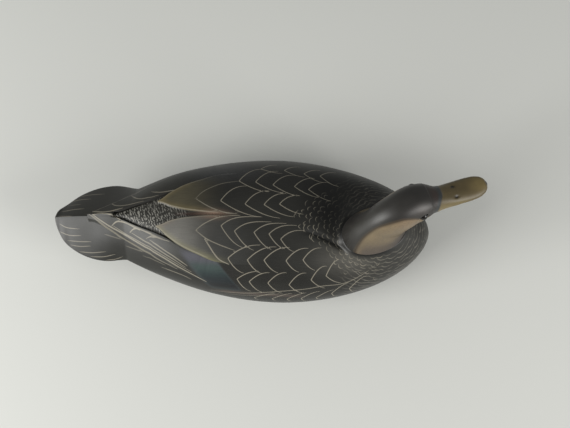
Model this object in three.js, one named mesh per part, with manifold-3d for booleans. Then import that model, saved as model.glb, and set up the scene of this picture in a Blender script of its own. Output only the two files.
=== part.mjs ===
// Black duck decoy: a carved and painted wooden bird, sixteen inches long in the body.
// Millimetres, +X towards the bill, +Y to the bird's left, +Z up.
// It stands on its flat underside at z = 0, and the origin is the middle of that flat.
// Pieces: the body with its wings and tail carved in one block, the turned head block
// that is seated on it, and two glass eyes set into the head.

import * as THREE from 'three';
import { mergeVertices } from 'three/addons/utils/BufferGeometryUtils.js';
import Module from 'manifold-3d';

const wasm = await Module();
wasm.setup();

// Driving dimensions of the body
const TAIL_END = -242.5;
const BREAST_END = 154.4;
const HALF_BREADTH = 77.6;
const WIDEST_AT = -5;
const REAR_TAPER_LENGTH = 228.6;
const REAR_TAPER_POWER = 1.94;
const BREAST_LENGTH = BREAST_END - WIDEST_AT;
const TAIL_FAN_AT = -184;
const TAIL_WAIST_AT = -163;
const TAIL_HALF_WIDTH = 42;
const TAIL_WAIST_INSET = 2.2;
const TAIL_SKEW = 2.8;
const TAIL_SHEET = 6;
const TAIL_POINT_HEIGHT = 74.5;
const SHOULDER_AT = 85;
const SHOULDER_RISE = 45.5;
const BASE_SANDED_OFF = 8;
const BOW_STARTS_AT = 50;
// Powers of the rounded lines, inner and outer, as shoulderCurve takes them
const BREAST_OUTLINE = [1.85, 1.8];
const FAN_OUTLINE = [1.9, 1.75];
const BREAST_PROFILE = [2.1, 2];
const BOW_PROFILE = [2.4, 2.4];
const DOME_SECTION = [2.15, 2];
const ROOF_SECTION = [1.1, 1.05];
const BELLY_SECTION = [2.4, 2.2];
const SHEET_EDGE = [8, 2];
const UNDERTAIL_POWER = 1.4;
// Where the ridged roof of the tail has turned into the round back, and the sheet into the belly
const ROOF_TO_DOME = [-190, -105];
const SHEET_TO_BELLY = [-178, -135];
const TAIL_TURN_FADES = [-160, -115];
const TAIL_TURN_LENGTH = 12;
// Thumb-shaped hollow cut into the back behind the neck
const HOLLOW = { x: 57, y: 7, length: 21, width: 25, depth: 6.5 };

// Driving dimensions of the head, in its own frame: x forward, y to its left
const HEAD_TURN = THREE.MathUtils.degToRad(21.5);
const HEAD_PLACE = { x: 100, y: -7 };
const SEAT_HEIGHT = 100;
const FAN_PIVOT = 42;
const BILL_TIP = 107.5;

// Gap between pieces, and the width of a knife cut
const JOINT_GAP = 0.3;
const CUT_WIDTH = 0.3;

// Glass eyes
const EYE_RADIUS = 4.6;
const EYE_PLACE = { x: 32.3, y: 14.6, z: 147 };

// Softly curved line through knots, without overshoot: a cubic between each pair whose
// slope at a knot is the harmonic mean of the slopes beside it.
function softLine(knots) {
  const last = knots.length - 1;
  const rise = [];
  for (let i = 0; i < last; i += 1) {
    rise.push((knots[i + 1][1] - knots[i][1]) / (knots[i + 1][0] - knots[i][0]));
  }
  const slope = knots.map((knot, i) => {
    if (i === 0) return rise[0];
    if (i === last) return rise[last - 1];
    if (rise[i - 1] * rise[i] <= 0) return 0;
    return (2 * rise[i - 1] * rise[i]) / (rise[i - 1] + rise[i]);
  });
  return (x) => {
    let i = 0;
    while (i < last - 1 && x > knots[i + 1][0]) {
      i += 1;
    }
    const width = knots[i + 1][0] - knots[i][0];
    const t = THREE.MathUtils.clamp((x - knots[i][0]) / width, 0, 1);
    const s = 1 - t;
    return (1 + 2 * t) * s * s * knots[i][1] + t * t * (3 - 2 * t) * knots[i + 1][1]
      + t * s * width * (s * slope[i] - t * slope[i + 1]);
  };
}

// A quarter of a superellipse: 1 at t = 0, falling to 0 at t = 1.
function shoulderCurve(t, inner, outer) {
  const inside = 1 - THREE.MathUtils.clamp(t, 0, 1) ** inner;
  return Math.max(inside, 0) ** (1 / outer);
}

// Body surface, as heights over the plan

const sideLine = softLine([
  [-242.5, 74], [-236, 67], [-225, 62.5], [-205, 60], [-184, 59.5], [-163, 58.5],
  [-120, 55], [-60, 51], [0, 50], [90, 52], [155, 57],
]);
const backLine = softLine([
  [-242.5, 75.5], [-220, 81], [-200, 85.5], [-178, 91], [-140, 97.5], [-100, 103],
  [-60, 106.5], [-20, 106.5], [20, 104], [55, 99.5], [90, 97.5],
]);
const keelLine = softLine([
  [-242.5, 73.5], [-210, 60], [-185, 44], [-160, 26], [-135, 9], [-118, 0], [-95, -6],
  [-60, -BASE_SANDED_OFF], [BOW_STARTS_AT, -BASE_SANDED_OFF],
]);
const undertailHalfWidth = softLine([
  [-242.5, 6], [-225, 12], [-205, 22], [-184, 32], [-163, 40], [-130, 50],
]);

// Half the breadth at x on the left (side 1) or right (side -1). The tail fan is turned a
// little to the bird's right, as the carver left it.
function halfBreadth(x, side) {
  const turned = THREE.MathUtils.smoothstep(x, TAIL_END, TAIL_END + TAIL_TURN_LENGTH)
    * (1 - THREE.MathUtils.smoothstep(x, ...TAIL_TURN_FADES));
  const at = x - side * TAIL_SKEW * turned;
  if (at > WIDEST_AT) {
    return HALF_BREADTH * shoulderCurve((at - WIDEST_AT) / BREAST_LENGTH, ...BREAST_OUTLINE);
  }
  if (at > TAIL_WAIST_AT) {
    return HALF_BREADTH * (1 - ((WIDEST_AT - at) / REAR_TAPER_LENGTH) ** REAR_TAPER_POWER);
  }
  if (at > TAIL_FAN_AT) {
    const inset = TAIL_WAIST_INSET * THREE.MathUtils.smoothstep(at, TAIL_FAN_AT, TAIL_WAIST_AT);
    return TAIL_HALF_WIDTH - inset;
  }
  const alongFan = (TAIL_FAN_AT - at) / (TAIL_FAN_AT - TAIL_END);
  return TAIL_HALF_WIDTH * shoulderCurve(alongFan, ...FAN_OUTLINE);
}

function ridgeHeight(x) {
  if (x <= SHOULDER_AT) return backLine(x);
  const t = (x - SHOULDER_AT) / (BREAST_END - SHOULDER_AT);
  return sideLine(x) + SHOULDER_RISE * shoulderCurve(t, ...BREAST_PROFILE);
}

function keelHeight(x) {
  if (x <= BOW_STARTS_AT) return keelLine(x);
  const t = (x - BOW_STARTS_AT) / (BREAST_END - BOW_STARTS_AT);
  const depth = sideLine(x) + BASE_SANDED_OFF;
  return sideLine(x) - depth * shoulderCurve(t, ...BOW_PROFILE);
}

function shareAcross(x, y) {
  return Math.abs(y) / Math.max(halfBreadth(x, Math.sign(y)), 1e-6);
}

// The round back turns into the ridged roof of the tail towards the rear.
function backHeight(x, y) {
  const roundness = THREE.MathUtils.smoothstep(x, ...ROOF_TO_DOME);
  const powers = ROOF_SECTION.map((power, i) => power + (DOME_SECTION[i] - power) * roundness);
  const dome = shoulderCurve(shareAcross(x, y), ...powers);
  const hollow = HOLLOW.depth
    * Math.exp(-(((x - HOLLOW.x) / HOLLOW.length) ** 2) - (((y - HOLLOW.y) / HOLLOW.width) ** 2));
  return sideLine(x) + (ridgeHeight(x) - sideLine(x)) * dome - hollow;
}

function bellyHeight(x, y) {
  const across = shareAcross(x, y);
  const belly = sideLine(x) - (sideLine(x) - keelHeight(x)) * shoulderCurve(across, ...BELLY_SECTION);
  const sheet = backHeight(x, y) - TAIL_SHEET * shoulderCurve(across, ...SHEET_EDGE);
  const reach = Math.min(Math.abs(y) / undertailHalfWidth(x), 1);
  const undertail = Math.max(ridgeHeight(x) - TAIL_SHEET - keelHeight(x), 0);
  const tail = sheet - undertail * (1 - reach * reach) ** UNDERTAIL_POWER;
  const share = THREE.MathUtils.smoothstep(x, ...SHEET_TO_BELLY);
  return Math.max(share * belly + (1 - share) * tail, 0);
}

// Closed solid from rings of points, each end drawn together to one point.
function ringSolid(rings, startPoint, endPoint) {
  const around = rings[0].length;
  const positions = rings.flat(2);
  const start = positions.length / 3;
  positions.push(...startPoint, ...endPoint);
  const index = [];
  for (let i = 0; i < rings.length - 1; i += 1) {
    for (let j = 0; j < around; j += 1) {
      const next = (j + 1) % around;
      const a = i * around + j;
      const b = i * around + next;
      index.push(a, b, b + around, a, b + around, a + around);
    }
  }
  const lastRing = (rings.length - 1) * around;
  for (let j = 0; j < around; j += 1) {
    const next = (j + 1) % around;
    index.push(start, next, j);
    index.push(start + 1, lastRing + j, lastRing + next);
  }
  const geometry = new THREE.BufferGeometry();
  geometry.setAttribute('position', new THREE.Float32BufferAttribute(positions, 3));
  geometry.setIndex(index);
  return geometry;
}

function meanPoint(ring) {
  return [0, 1, 2].map((axis) => ring.reduce((sum, point) => sum + point[axis], 0) / ring.length);
}

// A geometry becomes a solid that can be cut and joined, whichever way its rings ran.
function toSolid(geometry) {
  const bare = new THREE.BufferGeometry();
  bare.setAttribute('position', geometry.getAttribute('position').clone());
  bare.setIndex(geometry.getIndex() ? geometry.getIndex().clone() : null);
  const merged = mergeVertices(bare, 1e-4);
  const triangles = new Uint32Array(merged.getIndex().array);
  const points = new Float32Array(merged.getAttribute('position').array);
  let volume = 0;
  for (let i = 0; i < triangles.length; i += 3) {
    const corner = (k) => new THREE.Vector3().fromArray(points, triangles[i + k] * 3);
    const [a, b, c] = [0, 1, 2].map(corner);
    volume += a.dot(b.cross(c));
  }
  if (volume < 0) {
    for (let i = 0; i < triangles.length; i += 3) {
      [triangles[i + 1], triangles[i + 2]] = [triangles[i + 2], triangles[i + 1]];
    }
  }
  const mesh = new wasm.Mesh({ numProp: 3, vertProperties: points, triVerts: triangles });
  return new wasm.Manifold(mesh);
}

function toGeometry(solid) {
  const mesh = solid.getMesh();
  const geometry = new THREE.BufferGeometry();
  geometry.setAttribute('position', new THREE.Float32BufferAttribute(mesh.vertProperties, 3));
  geometry.setIndex(new THREE.Uint32BufferAttribute(mesh.triVerts, 1));
  geometry.computeVertexNormals();
  return geometry;
}

// Wings, carved in relief on the back. Each edge is a line of y over x for one wing.

const PRIMARY_TIP = -205;
const PRIMARY_TIP_GAP = 5;
const RUMP_REAR = -178;
const TERTIAL_TIP = -131;
const rumpEdge = softLine([
  [-242, 0.5], [RUMP_REAR, 1], [-151, 8], [TERTIAL_TIP, 12.6], [-115, 7], [-99, 3.6], [-67, 1],
  [0, 5], [120, 8],
]);
const tertialEdge = softLine([
  [-242, 1.5], [RUMP_REAR, 2], [-151, 9], [TERTIAL_TIP, 13.6], [-118, 24], [-104, 33],
  [-89, 39.5], [-67, 47], [-45, 49], [0, 42], [120, 24],
]);
const primaryInnerEdge = softLine([
  [-242, 2.5], [RUMP_REAR, 3], [-151, 12], [-118, 25.2], [-104, 34.2], [-89, 40.7], [-67, 48.2],
  [-45, 51], [0, 45], [120, 27],
]);
const primaryOuterEdge = softLine([
  [-242, 4], [PRIMARY_TIP, 4], [-175, 17], [-142, 36], [-111, 51], [-80, 62], [-45, 67],
  [0, 66], [120, 38],
]);
// How far each group of feathers stands proud of the surface beside it
const primaryRelief = softLine([
  [PRIMARY_TIP, 5], [RUMP_REAR, 4.2], [-130, 2.8], [-95, 1.2], [-70, 0],
]);
const tertialRelief = softLine([[TERTIAL_TIP, 4.2], [-110, 3.8], [-80, 2], [-50, 0]]);
// The right wing's points lie over the left wing's.
const CROSSING_LIFT = 1;
const CROSSING_FADES = [-190, -160];
// Forward of here no gap is left between the wing points and the feathers folded over them.
const GAP_CLOSES = [-122, -108];
// Furthest each field of feathers may reach towards the side, for the narrow ends of the body
const FIELD_LIMITS = [0.3, 0.8, 0.84, 0.95];

function primaryLift(x, side) {
  const tip = side < 0 ? PRIMARY_TIP : PRIMARY_TIP + PRIMARY_TIP_GAP;
  if (x < tip) return 0;
  const overlap = side < 0 ? 1 - THREE.MathUtils.smoothstep(x, ...CROSSING_FADES) : 0;
  return primaryRelief(x) + CROSSING_LIFT * overlap;
}

// Stations across one half of the back, from the ridge out: fields of feathers between cuts.
// A field has its outer edge, its number of steps and its lift.
function backFields(x, side) {
  const reach = halfBreadth(x, side);
  const primaries = primaryLift(x, side);
  const tertials = x < TERTIAL_TIP ? 0 : tertialRelief(x);
  const rump = x < RUMP_REAR ? primaries : 0;
  const gap = Math.max(rump, primaries * THREE.MathUtils.smoothstep(x, ...GAP_CLOSES));
  const lines = [rumpEdge, tertialEdge, primaryInnerEdge, primaryOuterEdge];
  const edges = lines.map((line, number) => Math.min(line(x), reach * FIELD_LIMITS[number]));
  return [
    { edge: edges[0], steps: 2, lift: rump },
    { edge: edges[1], steps: 3, lift: Math.max(rump, tertials) },
    { edge: edges[2], steps: 1, lift: gap },
    { edge: edges[3], steps: 3, lift: primaries },
    { edge: reach, steps: 3, lift: 0 },
  ];
}

// Points of one half of the back from the ridge to the side line
function backHalf(x, side) {
  const points = [];
  let from = 0;
  backFields(x, side).forEach((field, number, fields) => {
    const start = number === 0 ? 0 : from + Math.min(CUT_WIDTH, field.edge * 0.02);
    for (let j = number === 0 ? 1 : 0; j <= field.steps; j += 1) {
      const t = j / field.steps;
      const eased = number === fields.length - 1 ? Math.sin((Math.PI / 2) * t) : t;
      const y = side * (start + (field.edge - start) * eased);
      points.push([x, y, backHeight(x, y) + field.lift]);
    }
    from = field.edge;
  });
  return points;
}

// Body block: rings across the bird, each over the back and round under the belly

const BODY_RINGS = 52;
const FLANK_STEPS = 7;
const FLAT_STEPS = 3;
const LEAST_FLAT_SHARE = 0.3;
const MOST_FLAT_SHARE = 0.85;
const END_INSET = 0.6;
const LEAST_SPACING = 1.5;

// The belly points bunch so that one of them lies where the sanded flat begins, and under the
// tail where the swelling of the body ends.
function bellyHalf(x, side) {
  const depth = sideLine(x) - keelHeight(x);
  const [inner, outer] = BELLY_SECTION;
  const flatShare = keelHeight(x) < 0 ? shoulderCurve(sideLine(x) / depth, outer, inner) : 0;
  const swelling = Math.min(undertailHalfWidth(x) / halfBreadth(x, side), MOST_FLAT_SHARE);
  const ofHull = THREE.MathUtils.smoothstep(x, ...SHEET_TO_BELLY);
  const flatEdge = THREE.MathUtils.lerp(swelling, Math.max(flatShare, LEAST_FLAT_SHARE), ofHull);
  const shares = [];
  for (let j = 1; j <= FLANK_STEPS; j += 1) {
    shares.push(flatEdge + (1 - flatEdge) * Math.cos((Math.PI / 2) * (j / FLANK_STEPS)));
  }
  for (let j = 1; j < FLAT_STEPS; j += 1) {
    shares.push(flatEdge * (1 - j / FLAT_STEPS));
  }
  return shares.map((share) => {
    const y = side * halfBreadth(x, side) * share;
    return [x, y, bellyHeight(x, y)];
  });
}

function bodyRing(x) {
  const rump = Math.max(backFields(x, 1)[0].lift, backFields(x, -1)[0].lift);
  return [
    [x, 0, backHeight(x, 0) + rump],
    ...backHalf(x, 1),
    ...bellyHalf(x, 1),
    [x, 0, bellyHeight(x, 0)],
    ...bellyHalf(x, -1).reverse(),
    ...backHalf(x, -1).reverse(),
  ];
}

// Rings bunch towards both ends, and a pair of rings makes each cut across the feathers.
function bodyBlock() {
  const cuts = [PRIMARY_TIP, PRIMARY_TIP + PRIMARY_TIP_GAP, RUMP_REAR, TERTIAL_TIP];
  const stations = cuts.flatMap((cut) => [cut - CUT_WIDTH, cut]);
  for (let i = 1; i < BODY_RINGS; i += 1) {
    const t = 0.5 - 0.5 * Math.cos((Math.PI * (i + END_INSET)) / (BODY_RINGS + 2 * END_INSET));
    const x = TAIL_END + (BREAST_END - TAIL_END) * t;
    if (cuts.every((cut) => Math.abs(cut - x) > LEAST_SPACING)) {
      stations.push(x);
    }
  }
  stations.sort((one, other) => one - other);
  const tailPoint = [TAIL_END, 0, TAIL_POINT_HEIGHT];
  const breastPoint = [BREAST_END, 0, sideLine(BREAST_END)];
  return ringSolid(stations.map(bodyRing), tailPoint, breastPoint);
}

// Head block

const neckBack = softLine([[0, 84], [14, 79], [30, 75], [46, 74], [60, 72], [74, 67], [90, 59.5]]);
const neckFront = softLine([[0, 17], [15, 13.5], [30, 12], [50, 13], [70, 16], [90, 23]]);
const headHalfWidth = softLine([
  [0, 24], [12, 20.5], [28, 18.2], [46, 19.4], [62, 20.4], [76, 20], [90, 18],
]);
const jawTaper = softLine([[0, 0], [40, 0.1], [70, 0.3], [90, 0.38]]);
const billTop = softLine([
  [42, 159.5], [50, 155.5], [58, 151.5], [70, 146.5], [84, 142.7], [97, 141], [104, 139.5],
  [107.5, 136],
]);
const billBottom = softLine([
  [42, 123], [50, 126.5], [58, 129.5], [70, 130.5], [84, 131], [97, 131.5], [104, 132.5],
  [107.5, 134.5],
]);
const billHalfWidth = softLine([
  [42, 18], [48, 15], [54, 12.3], [60, 11.8], [70, 12.1], [84, 12.2], [94, 11.6], [101, 9.4],
  [105.5, 5.6], [107.5, 0.8],
]);
// The head is carved a little fuller on its left side.
const headBow = softLine([
  [-45, 0], [0, 0], [30, 2.2], [42, 2.2], [52, 0.7], [60, 0.2], [BILL_TIP, 0],
]);

function headPoint(x, y, z) {
  const cos = Math.cos(HEAD_TURN);
  const sin = Math.sin(HEAD_TURN);
  const bowed = y + headBow(x);
  return [HEAD_PLACE.x + x * cos - bowed * sin, HEAD_PLACE.y + x * sin + bowed * cos, z];
}

function signedPower(value, power) {
  return Math.sign(value) * Math.abs(value) ** power;
}

const CROWN_POWER = 0.95;
const CHEEK_POWER = 0.88;
const JAW_POWER = 1.6;

// Across the section: how far out, and how wide, at each turn from the crown (0) to the chin
function sectionAt(turn, outer, inner, width, taper) {
  const out = (outer + inner) / 2 + ((outer - inner) / 2) * signedPower(Math.cos(turn), CROWN_POWER);
  const narrow = 1 - taper * (0.5 - 0.5 * Math.cos(turn)) ** JAW_POWER;
  return { out, wide: width * signedPower(Math.sin(turn), CHEEK_POWER) * narrow };
}

const HEAD_STEPS_AROUND = 28;
const HEAD_FAN_RINGS = 24;
const BILL_RINGS = 16;
const BILL_SPACING_POWER = 1.25;
const JAW_ENDS_AT = 56;

function headTurns() {
  const step = (2 * Math.PI) / HEAD_STEPS_AROUND;
  return Array.from({ length: HEAD_STEPS_AROUND }, (_, j) => step * j);
}

// The rings fan about a line in front of the throat, from the level seat of the neck to the
// upright section behind the bill, and then step forward along the bill.
function headBlock() {
  const turns = headTurns();
  const rings = [];
  for (let i = 0; i <= HEAD_FAN_RINGS; i += 1) {
    const degrees = (90 * i) / HEAD_FAN_RINGS;
    const angle = THREE.MathUtils.degToRad(degrees);
    const size = [neckBack, neckFront, headHalfWidth, jawTaper].map((line) => line(degrees));
    rings.push(turns.map((turn) => {
      const at = sectionAt(turn, ...size);
      const x = FAN_PIVOT - at.out * Math.cos(angle);
      return headPoint(x, at.wide, SEAT_HEIGHT + JOINT_GAP + at.out * Math.sin(angle));
    }));
  }
  for (let i = 1; i <= BILL_RINGS; i += 1) {
    const along = Math.sin((Math.PI / 2) * (i / BILL_RINGS)) ** BILL_SPACING_POWER;
    const x = FAN_PIVOT + (BILL_TIP - FAN_PIVOT) * along;
    const taper = jawTaper(90) * (1 - THREE.MathUtils.smoothstep(x, FAN_PIVOT, JAW_ENDS_AT));
    rings.push(turns.map((turn) => {
      const at = sectionAt(turn, billTop(x), billBottom(x), billHalfWidth(x), taper);
      return headPoint(x, at.wide, at.out);
    }));
  }
  return ringSolid(rings, meanPoint(rings[0]), meanPoint(rings[rings.length - 1]));
}

// Collar on the body under the neck: a level seat, and a fillet from it down into the back
const FILLET_WIDTH = 17;
const FILLET_REAR_WIDTH = 7;
const FILLET_STEPS = 6;
const COLLAR_ROOT = 60;
const FILLET_POWER = 2.2;
const FILLET_SUNK_IN = 0.6;

// The seat's outline grown by a share of the fillet's width, which is least behind the neck
function collarRing(share, heightAt) {
  return headTurns().map((turn) => {
    const rearward = Math.max(Math.cos(turn), 0);
    const offset = share * (FILLET_WIDTH + (FILLET_REAR_WIDTH - FILLET_WIDTH) * rearward);
    const size = [neckBack(0) + offset, neckFront(0) - offset, headHalfWidth(0) + offset, 0];
    const at = sectionAt(turn, ...size);
    const [x, y] = headPoint(FAN_PIVOT - at.out, at.wide, 0);
    return [x, y, heightAt(x, y)];
  });
}

function neckCollar() {
  const rings = [collarRing(0, () => SEAT_HEIGHT)];
  for (let i = 1; i <= FILLET_STEPS; i += 1) {
    const t = i / FILLET_STEPS;
    rings.push(collarRing(t, (x, y) => {
      const back = backHeight(x, y);
      return back + (SEAT_HEIGHT - back) * (1 - t) ** FILLET_POWER - FILLET_SUNK_IN * t;
    }));
  }
  rings.push(collarRing(0, () => COLLAR_ROOT));
  return ringSolid(rings, meanPoint(rings[0]), meanPoint(rings[rings.length - 1]));
}

function eyeBall(side, radius) {
  const ball = new THREE.SphereGeometry(radius, 12, 8);
  return ball.translate(...headPoint(EYE_PLACE.x, side * EYE_PLACE.y, EYE_PLACE.z));
}

function painted(name, colour, roughness, geometry) {
  const material = new THREE.MeshStandardMaterial({ color: colour, roughness, metalness: 0 });
  const mesh = new THREE.Mesh(geometry, material);
  mesh.name = name;
  return mesh;
}

const body = toSolid(bodyBlock()).add(toSolid(neckCollar()));

let head = toSolid(headBlock());
[1, -1].forEach((side) => {
  head = head.subtract(toSolid(eyeBall(side, EYE_RADIUS + JOINT_GAP)));
});

const duck = new THREE.Group();
duck.add(painted('body', '#3a3631', 0.5, toGeometry(body)));
duck.add(painted('head', '#5b554b', 0.48, toGeometry(head)));
duck.add(painted('eye_left', '#120d0a', 0.08, eyeBall(1, EYE_RADIUS)));
duck.add(painted('eye_right', '#120d0a', 0.08, eyeBall(-1, EYE_RADIUS)));

export default duck;
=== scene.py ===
import math

import bpy
import numpy as np
from mathutils import Matrix, Vector


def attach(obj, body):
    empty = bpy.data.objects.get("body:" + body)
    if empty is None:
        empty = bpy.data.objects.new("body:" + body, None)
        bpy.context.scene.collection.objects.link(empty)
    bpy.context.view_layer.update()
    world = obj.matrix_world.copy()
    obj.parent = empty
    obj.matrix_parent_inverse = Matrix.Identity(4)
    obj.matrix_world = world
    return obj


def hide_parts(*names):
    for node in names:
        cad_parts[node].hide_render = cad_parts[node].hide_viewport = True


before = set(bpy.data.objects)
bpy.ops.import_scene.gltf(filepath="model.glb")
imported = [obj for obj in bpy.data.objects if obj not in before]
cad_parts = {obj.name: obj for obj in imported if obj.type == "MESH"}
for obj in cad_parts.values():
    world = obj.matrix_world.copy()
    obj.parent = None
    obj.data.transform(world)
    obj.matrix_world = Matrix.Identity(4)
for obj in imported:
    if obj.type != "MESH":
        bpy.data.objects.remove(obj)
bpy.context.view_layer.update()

MM = 0.001

# Driving dimensions of the duck in millimetres, as its solids have them

TAIL_END = -242.5
BREAST_END = 154.4
HALF_BREADTH = 77.6
WIDEST_AT = -5.0
REAR_TAPER_LENGTH = 228.6
REAR_TAPER_POWER = 1.94
TAIL_FAN_AT = -184.0
TAIL_WAIST_AT = -163.0
TAIL_HALF_WIDTH = 42.0
TAIL_WAIST_INSET = 2.2
TAIL_SKEW = 2.8
TAIL_SHEET = 6.0
TAIL_POINT_HEIGHT = 74.5
SHOULDER_AT = 85.0
SHOULDER_RISE = 45.5
BASE_SANDED_OFF = 8.0
BOW_STARTS_AT = 50.0
HOLLOW = dict(x=57.0, y=7.0, length=21.0, width=25.0, depth=6.5)
CUT_WIDTH = 0.3
PRIMARY_TIP = -205.0
PRIMARY_TIP_GAP = 5.0
RUMP_REAR = -178.0
TERTIAL_TIP = -131.0
HEAD_TURN = math.radians(21.5)
HEAD_X, HEAD_Y = 100.0, -7.0
SEAT_HEIGHT = 100.0
FILLET_WIDTH = 17.0
FILLET_REAR_WIDTH = 7.0
FAN_PIVOT = 42.0
BILL_TIP = 107.5
EYE_RADIUS = 4.6
EYE_X, EYE_Y, EYE_Z = 32.3, 14.6, 147.0


def soft_line(*knots):
    """Cubic through knots, without overshoot: the slope at a knot is the harmonic mean of its neighbours' rises."""
    x, y = np.array(knots, float).T
    rise = np.diff(y) / np.diff(x)
    product = rise[:-1] * rise[1:]
    total = np.where(product > 0, rise[:-1] + rise[1:], 1)
    slope = np.concatenate([rise[:1], np.where(product > 0, 2 * product / total, 0), rise[-1:]])

    def at(q):
        q = np.asarray(q, float)
        i = np.clip(np.searchsorted(x, q) - 1, 0, len(rise) - 1)
        width = x[i + 1] - x[i]
        t = np.clip((q - x[i]) / width, 0, 1)
        s = 1 - t
        ends = (1 + 2 * t) * s * s * y[i] + t * t * (3 - 2 * t) * y[i + 1]
        return ends + t * s * width * (s * slope[i] - t * slope[i + 1])

    return at


def ease(x, low, high):
    """Smooth step: 0 at low, 1 at high, 3t² - 2t³ between."""
    t = np.clip((np.asarray(x, float) - low) / (high - low), 0, 1)
    return t * t * (3 - 2 * t)


def rounded(t, inner, outer):
    """Quarter of a superellipse: (1 - t^inner)^(1/outer), 1 at t = 0 and 0 at t = 1."""
    return np.maximum(1 - np.clip(t, 0, 1) ** inner, 0) ** (1 / outer)


def bell(x, middle, spread):
    """Gaussian: 1 at the middle, 1/e at the spread."""
    return np.exp(-((x - middle) / spread) ** 2)


def signed_power(value, power):
    return np.sign(value) * np.abs(value) ** power


# Body surface, as heights over the plan

side_line = soft_line(
    (-242.5, 74), (-236, 67), (-225, 62.5), (-205, 60), (-184, 59.5), (-163, 58.5),
    (-120, 55), (-60, 51), (0, 50), (90, 52), (155, 57))
back_line = soft_line(
    (-242.5, 75.5), (-220, 81), (-200, 85.5), (-178, 91), (-140, 97.5), (-100, 103),
    (-60, 106.5), (-20, 106.5), (20, 104), (55, 99.5), (90, 97.5))
keel_line = soft_line(
    (-242.5, 73.5), (-210, 60), (-185, 44), (-160, 26), (-135, 9), (-118, 0), (-95, -6),
    (-60, -BASE_SANDED_OFF), (BOW_STARTS_AT, -BASE_SANDED_OFF))
undertail_half_width = soft_line(
    (-242.5, 6), (-225, 12), (-205, 22), (-184, 32), (-163, 40), (-130, 50))


def half_breadth(x, side):
    """Plan outline: superellipse to the breast, power taper to the waist, then the fan of the tail, turned a little."""
    turned = ease(x, TAIL_END, TAIL_END + 12) * (1 - ease(x, -160, -115))
    at = x - side * TAIL_SKEW * turned
    front = HALF_BREADTH * rounded((at - WIDEST_AT) / (BREAST_END - WIDEST_AT), 1.85, 1.8)
    behind = np.maximum(WIDEST_AT - at, 0) / REAR_TAPER_LENGTH
    rear = HALF_BREADTH * (1 - behind ** REAR_TAPER_POWER)
    waist = TAIL_HALF_WIDTH - TAIL_WAIST_INSET * ease(at, TAIL_FAN_AT, TAIL_WAIST_AT)
    fan = TAIL_HALF_WIDTH * rounded((TAIL_FAN_AT - at) / (TAIL_FAN_AT - TAIL_END), 1.9, 1.75)
    return np.select([at > WIDEST_AT, at > TAIL_WAIST_AT, at > TAIL_FAN_AT], [front, rear, waist], fan)


def ridge_height(x):
    """Middle of the back: a line through knots, then a quarter round down the breast."""
    t = (x - SHOULDER_AT) / (BREAST_END - SHOULDER_AT)
    return np.where(x <= SHOULDER_AT, back_line(x), side_line(x) + SHOULDER_RISE * rounded(t, 2.1, 2))


def keel_height(x):
    """Middle of the belly, which runs below the table where the base is sanded flat."""
    t = (x - BOW_STARTS_AT) / (BREAST_END - BOW_STARTS_AT)
    bow = side_line(x) - (side_line(x) + BASE_SANDED_OFF) * rounded(t, 2.4, 2.4)
    return np.where(x <= BOW_STARTS_AT, keel_line(x), bow)


def share_across(x, y):
    return np.abs(y) / np.maximum(half_breadth(x, np.sign(y)), 1e-6)


def plain_back(x, y):
    """Height of the back: rounded sections that turn into the roof of the tail, less a thumb-shaped hollow."""
    roof = 1 - ease(x, -190, -105)
    dome = rounded(share_across(x, y), 2.15 - 1.05 * roof, 2 - 0.95 * roof)
    hollow = HOLLOW["depth"] * bell(x, HOLLOW["x"], HOLLOW["length"]) * bell(y, HOLLOW["y"], HOLLOW["width"])
    return side_line(x) + (ridge_height(x) - side_line(x)) * dome - hollow


def belly(x, y):
    """Height of the belly: rounded sections cut off at the table, and a thin sheet under the tail."""
    across = share_across(x, y)
    hull = side_line(x) - (side_line(x) - keel_height(x)) * rounded(across, 2.4, 2.2)
    sheet = plain_back(x, y) - TAIL_SHEET * rounded(across, 8, 2)
    reach = np.minimum(np.abs(y) / undertail_half_width(x), 1)
    undertail = np.maximum(ridge_height(x) - TAIL_SHEET - keel_height(x), 0)
    share = ease(x, -178, -135)
    tail = sheet - undertail * (1 - reach ** 2) ** 1.4
    return np.maximum(share * hull + (1 - share) * tail, 0)


def arc_length(x, y):
    """Signed way over the back from the ridge to y: the sum of short chords at that x."""
    t = np.sin(np.linspace(0, np.pi / 2, 80))
    yy = np.asarray(y, float)[..., None] * t
    zz = plain_back(np.asarray(x, float)[..., None] + 0 * yy, yy)
    return np.sign(y) * np.hypot(np.diff(yy), np.diff(zz)).sum(-1)


# Wings: every edge is a line of y over x, the same on both sides

rump_edge = soft_line(
    (-242, 0.5), (RUMP_REAR, 1), (-151, 8), (TERTIAL_TIP, 12.6), (-115, 7), (-99, 3.6), (-67, 1), (0, 5), (120, 8))
tertial_edge = soft_line(
    (-242, 1.5), (RUMP_REAR, 2), (-151, 9), (TERTIAL_TIP, 13.6), (-118, 24), (-104, 33), (-89, 39.5), (-67, 47),
    (-45, 49), (0, 42), (120, 24))
primary_inner_edge = soft_line(
    (-242, 2.5), (RUMP_REAR, 3), (-151, 12), (-118, 25.2), (-104, 34.2), (-89, 40.7), (-67, 48.2), (-45, 51),
    (0, 45), (120, 27))
primary_outer_edge = soft_line(
    (-242, 4), (PRIMARY_TIP, 4), (-175, 17), (-142, 36), (-111, 51), (-80, 62), (-45, 67), (0, 66), (120, 38))
primary_relief = soft_line((PRIMARY_TIP, 5), (RUMP_REAR, 4.2), (-130, 2.8), (-95, 1.2), (-70, 0))
tertial_relief = soft_line((TERTIAL_TIP, 4.2), (-110, 3.8), (-80, 2), (-50, 0))


def primary_lift(x, side):
    tip = PRIMARY_TIP if side < 0 else PRIMARY_TIP + PRIMARY_TIP_GAP
    crossing = 1 - ease(x, -190, -160) if side < 0 else 0
    return np.where(x < tip, 0, primary_relief(x) + crossing)


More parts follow.
